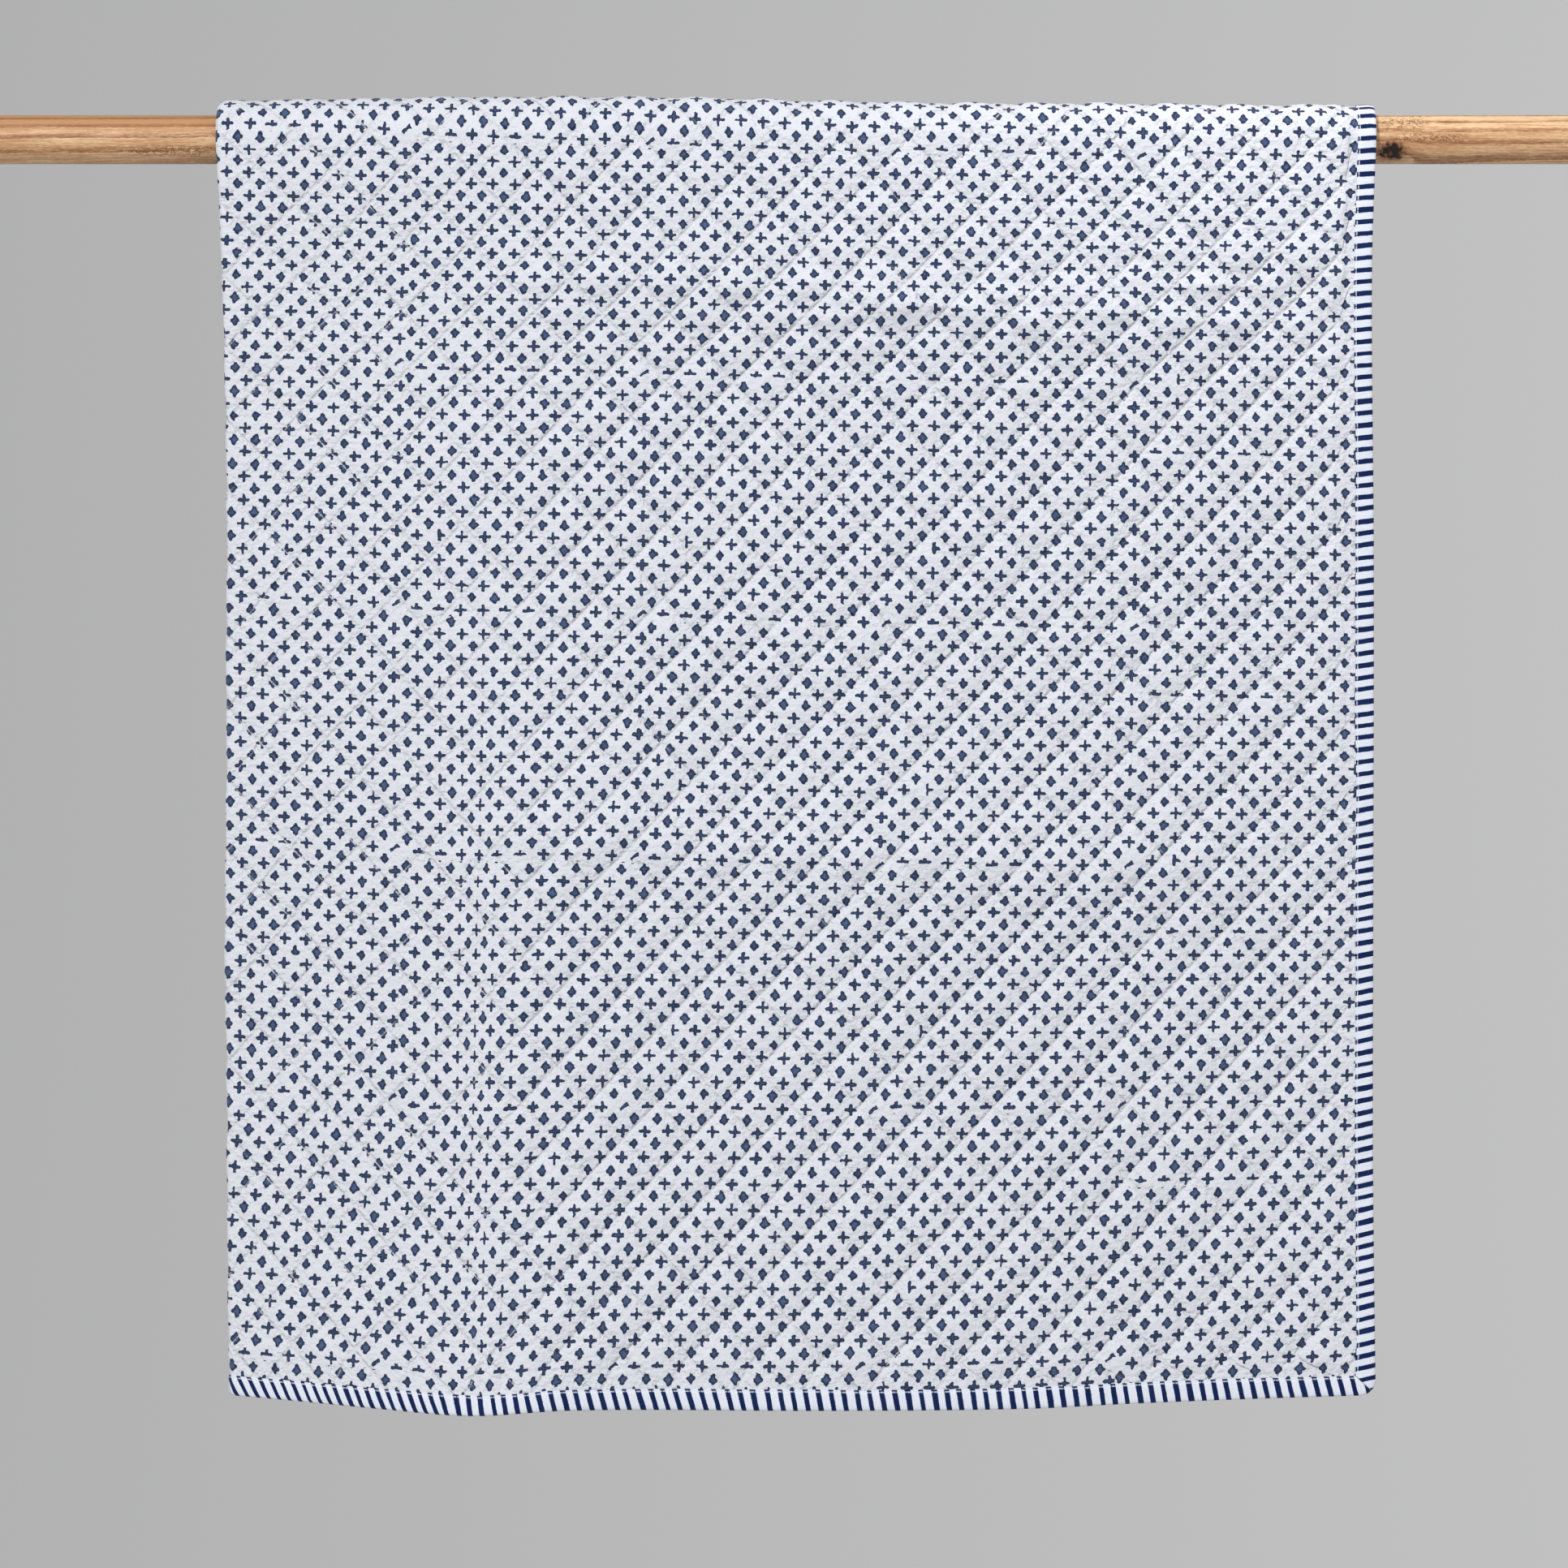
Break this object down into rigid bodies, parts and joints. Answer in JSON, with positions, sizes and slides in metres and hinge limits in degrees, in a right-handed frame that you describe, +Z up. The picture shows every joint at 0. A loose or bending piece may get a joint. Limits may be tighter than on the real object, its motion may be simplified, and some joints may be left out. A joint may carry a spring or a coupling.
{
  "type": "baby blanket on a wooden rod",
  "caption": "Quilted cotton baby blanket with a small block print and a striped binding, folded in half and hung over a round wooden rod.",
  "frame": {"origin": "middle of the rod's axis", "axes": "+X along the rod to the right as seen from the front, +Y to the back, +Z up; the long front drop hangs on the -Y side"},
  "size_m": [0.9, 0.0571, 0.6842],
  "materials": {
    "pine": "planed, bare, satin",
    "printed_cotton": "matt woven cotton, quilted",
    "striped_cotton": "matt woven cotton, folded and sewn"
  },
  "bodies": {
    "root": {"rod": "pine", "quilt_panel": "printed_cotton", "binding_front_hem": "striped_cotton", "binding_back_hem": "striped_cotton", "binding_outer_side": "striped_cotton", "binding_inner_side": "striped_cotton"}
  },
  "joints": []
}
